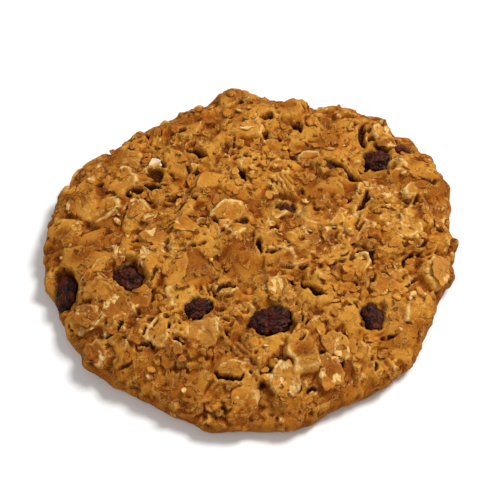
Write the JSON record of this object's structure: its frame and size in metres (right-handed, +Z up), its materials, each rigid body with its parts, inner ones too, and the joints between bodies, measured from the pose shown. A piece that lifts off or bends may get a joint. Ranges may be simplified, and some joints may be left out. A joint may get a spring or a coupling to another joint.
{
  "type": "oatmeal raisin cookie",
  "caption": "Round baked oatmeal raisin cookie: a low domed disc of craggy golden-brown dough with rolled oats, cracks and dark raisins sunk in its crust.",
  "frame": {"origin": "middle of the flat underside, at the surface the cookie rests on", "axes": "+Z up out of the crust, +X to the cookie's right and +Y to its far side"},
  "size_m": [0.086, 0.084, 0.0124],
  "materials": {
    "baked_oat_dough": "matte baked crust",
    "raisin": "wrinkled, half glossy skin"
  },
  "bodies": {
    "root": {"oat_dough": "baked_oat_dough", "raisin_1": "raisin", "raisin_2": "raisin", "raisin_3": "raisin", "raisin_4": "raisin", "raisin_5": "raisin", "raisin_6": "raisin", "raisin_7": "raisin", "raisin_8": "raisin", "raisin_9": "raisin"}
  },
  "joints": []
}
